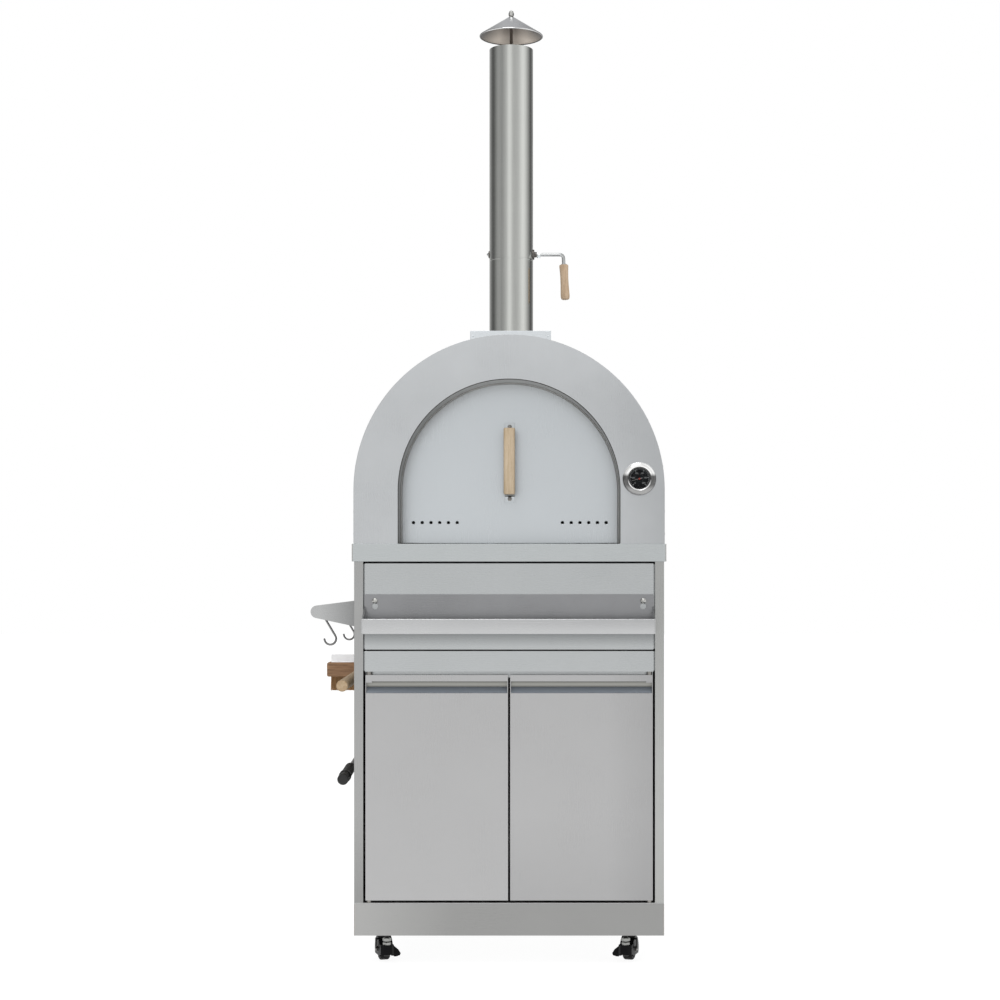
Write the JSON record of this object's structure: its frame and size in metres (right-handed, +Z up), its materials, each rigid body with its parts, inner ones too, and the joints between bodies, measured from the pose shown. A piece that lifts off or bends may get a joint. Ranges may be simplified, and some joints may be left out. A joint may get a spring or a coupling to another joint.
{
  "type": "wood fired pizza oven",
  "caption": "Arched stainless pizza oven with a lift-out door, tall capped flue and thermometer, standing on a two-door cabinet with casters, a hanging tray and a side tool rack.",
  "frame": {"origin": "on the floor under the middle of the cabinet", "axes": "+Z up, the oven's mouth and the cabinet doors face -Y, +X to the right of someone facing the mouth"},
  "size_m": [0.8105, 0.7214, 2.1808],
  "materials": {
    "stainless": "satin",
    "stainless_plinth": "satin",
    "stainless_tray": "satin",
    "stainless_door": "satin",
    "stainless_dark": "satin",
    "flue_steel": "satin",
    "zinc": "satin",
    "bezel_chrome": "polished",
    "dial_black": "matte",
    "lens_glass": "gloss",
    "needle_red": "gloss",
    "bush_metal": "satin",
    "magnet_plastic": "matte",
    "firebrick": "matte",
    "board": "matte",
    "fibre": "matte",
    "handle_wood": "satin",
    "grip_wood": "satin",
    "block_wood": "satin",
    "bristle": "matte",
    "black_rubber": "matte",
    "caster_plastic": "satin",
    "caster_tread": "satin"
  },
  "bodies": {
    "oven": {"side_panel_left": "stainless", "side_panel_right": "stainless", "back_panel": "stainless", "plinth": "stainless_plinth", "cabinet_floor": "stainless", "fascia_panel": "stainless", "front_rail": "stainless", "base_frame": "stainless", "hearth_board": "board", "baking_stones": "firebrick", "oven_facade": "stainless", "oven_shell": "stainless", "oven_back": "stainless", "chamber_vault": "stainless_dark", "insulation": "fibre", "mouth_frame": "stainless_dark", "flue_collar": "stainless", "flue_pipe_lower": "flue_steel", "flue_pipe_upper": "flue_steel", "rain_cap": "flue_steel", "cap_support": "flue_steel", "damper_bushes": "bush_metal", "thermometer_case": "bezel_chrome", "thermometer_dial": "dial_black", "thermometer_lens": "lens_glass", "tool_rack": "stainless", "tool_cradles": "stainless", "caster_stems": "zinc", "tray_screws": "zinc", "hinge_pins": "stainless_dark", "door_magnets": "magnet_plastic"},
    "oven_door": {"oven_door_panel": "stainless_door", "oven_door_liner": "stainless_dark", "oven_door_bracket": "stainless_dark", "oven_door_handle": "handle_wood"},
    "damper": {"damper_plate": "stainless_dark", "damper_crank": "stainless_dark", "damper_grip": "grip_wood"},
    "left_door": {"cabinet_door_left": "stainless"},
    "right_door": {"cabinet_door_right": "stainless"},
    "tray": {"hanging_tray": "stainless_tray"},
    "needle": {"thermometer_needle": "needle_red"},
    "front_hook": {"s_hook_front": "stainless_dark"},
    "rear_hook": {"s_hook_rear": "stainless_dark"},
    "brush": {"brush_handle": "handle_wood", "brush_block": "block_wood", "brush_bristles": "bristle", "brush_scraper": "stainless"},
    "rake": {"rake_grip": "black_rubber", "rake_head": "stainless"},
    "caster_fl": {"caster_fork_fl": "caster_plastic"},
    "wheel_fl": {"caster_wheel_fl": "caster_tread"},
    "caster_fr": {"caster_fork_fr": "caster_plastic"},
    "wheel_fr": {"caster_wheel_fr": "caster_tread"},
    "caster_rl": {"caster_fork_rl": "caster_plastic"},
    "wheel_rl": {"caster_wheel_rl": "caster_tread"},
    "caster_rr": {"caster_fork_rr": "caster_plastic"},
    "wheel_rr": {"caster_wheel_rr": "caster_tread"},
    "pedal_left": {"brake_pedal_left": "caster_plastic"},
    "pedal_right": {"brake_pedal_right": "caster_plastic"}
  },
  "joints": [
    {"name": "oven_door_lift_out", "type": "slide", "parent": "oven", "child": "oven_door", "axis": [0, -1, 0], "range_m": [0, 0.4]},
    {"name": "damper_turn", "type": "hinge", "parent": "oven", "child": "damper", "pos_m": [0, 0, 1.611], "axis": [-1, 0, 0], "range_deg": [0, 90]},
    {"name": "left_door_hinge", "type": "hinge", "parent": "oven", "child": "left_door", "pos_m": [-0.309, -0.272, 0.39], "axis": [0, 0, -1], "range_deg": [0, 110]},
    {"name": "right_door_hinge", "type": "hinge", "parent": "oven", "child": "right_door", "pos_m": [0.309, -0.272, 0.39], "axis": [0, 0, 1], "range_deg": [0, 110]},
    {"name": "tray_lift", "type": "slide", "parent": "oven", "child": "tray", "axis": [0, 0, 1], "range_m": [0, 0.012]},
    {"name": "needle_turn", "type": "hinge", "parent": "oven", "child": "needle", "pos_m": [0.2865, -0.2857, 1.071], "axis": [0, 1, 0], "range_deg": [-30, 240], "stiffness_Nm_per_rad": 0.002},
    {"name": "front_hook_swing", "type": "hinge", "parent": "oven", "child": "front_hook", "pos_m": [-0.399, -0.228, 0.7745], "axis": [0, 1, 0], "range_deg": [-25, 25]},
    {"name": "rear_hook_swing", "type": "hinge", "parent": "oven", "child": "rear_hook", "pos_m": [-0.399, 0.195, 0.7745], "axis": [0, 1, 0], "range_deg": [-25, 25]},
    {"name": "brush_lift", "type": "slide", "parent": "oven", "child": "brush", "axis": [0, 0, 1], "range_m": [0, 0.04]},
    {"name": "rake_lift", "type": "slide", "parent": "oven", "child": "rake", "axis": [0, 0, 1], "range_m": [0, 0.04]},
    {"name": "caster_fl_swivel", "type": "hinge", "parent": "oven", "child": "caster_fl", "pos_m": [-0.272, -0.24, 0.026], "axis": [0, 0, 1], "continuous": true},
    {"name": "wheel_fl_spin", "type": "hinge", "parent": "caster_fl", "child": "wheel_fl", "pos_m": [-0.28137, -0.20732, 0.025], "axis": [0.9613, 0.2756, 0], "continuous": true},
    {"name": "caster_fr_swivel", "type": "hinge", "parent": "oven", "child": "caster_fr", "pos_m": [0.258, -0.24, 0.026], "axis": [0, 0, 1], "continuous": true},
    {"name": "wheel_fr_spin", "type": "hinge", "parent": "caster_fr", "child": "wheel_fr", "pos_m": [0.26737, -0.20732, 0.025], "axis": [0.9613, -0.2756, 0], "continuous": true},
    {"name": "caster_rl_swivel", "type": "hinge", "parent": "oven", "child": "caster_rl", "pos_m": [-0.272, 0.24, 0.026], "axis": [0, 0, 1], "continuous": true},
    {"name": "wheel_rl_spin", "type": "hinge", "parent": "caster_rl", "child": "wheel_rl", "pos_m": [-0.28137, 0.27268, 0.025], "axis": [0.9613, 0.2756, 0], "continuous": true},
    {"name": "caster_rr_swivel", "type": "hinge", "parent": "oven", "child": "caster_rr", "pos_m": [0.258, 0.24, 0.026], "axis": [0, 0, 1], "continuous": true},
    {"name": "wheel_rr_spin", "type": "hinge", "parent": "caster_rr", "child": "wheel_rr", "pos_m": [0.26737, 0.27268, 0.025], "axis": [0.9613, -0.2756, 0], "continuous": true},
    {"name": "brake_pedal_left_press", "type": "hinge", "parent": "caster_fl", "child": "pedal_left", "pos_m": [-0.25856, -0.21794, 0.017], "axis": [-0.2756, 0.9613, 0], "range_deg": [0, 12]},
    {"name": "brake_pedal_right_press", "type": "hinge", "parent": "caster_fr", "child": "pedal_right", "pos_m": [0.24456, -0.21794, 0.017], "axis": [-0.2756, -0.9613, 0], "range_deg": [0, 12]}
  ]
}
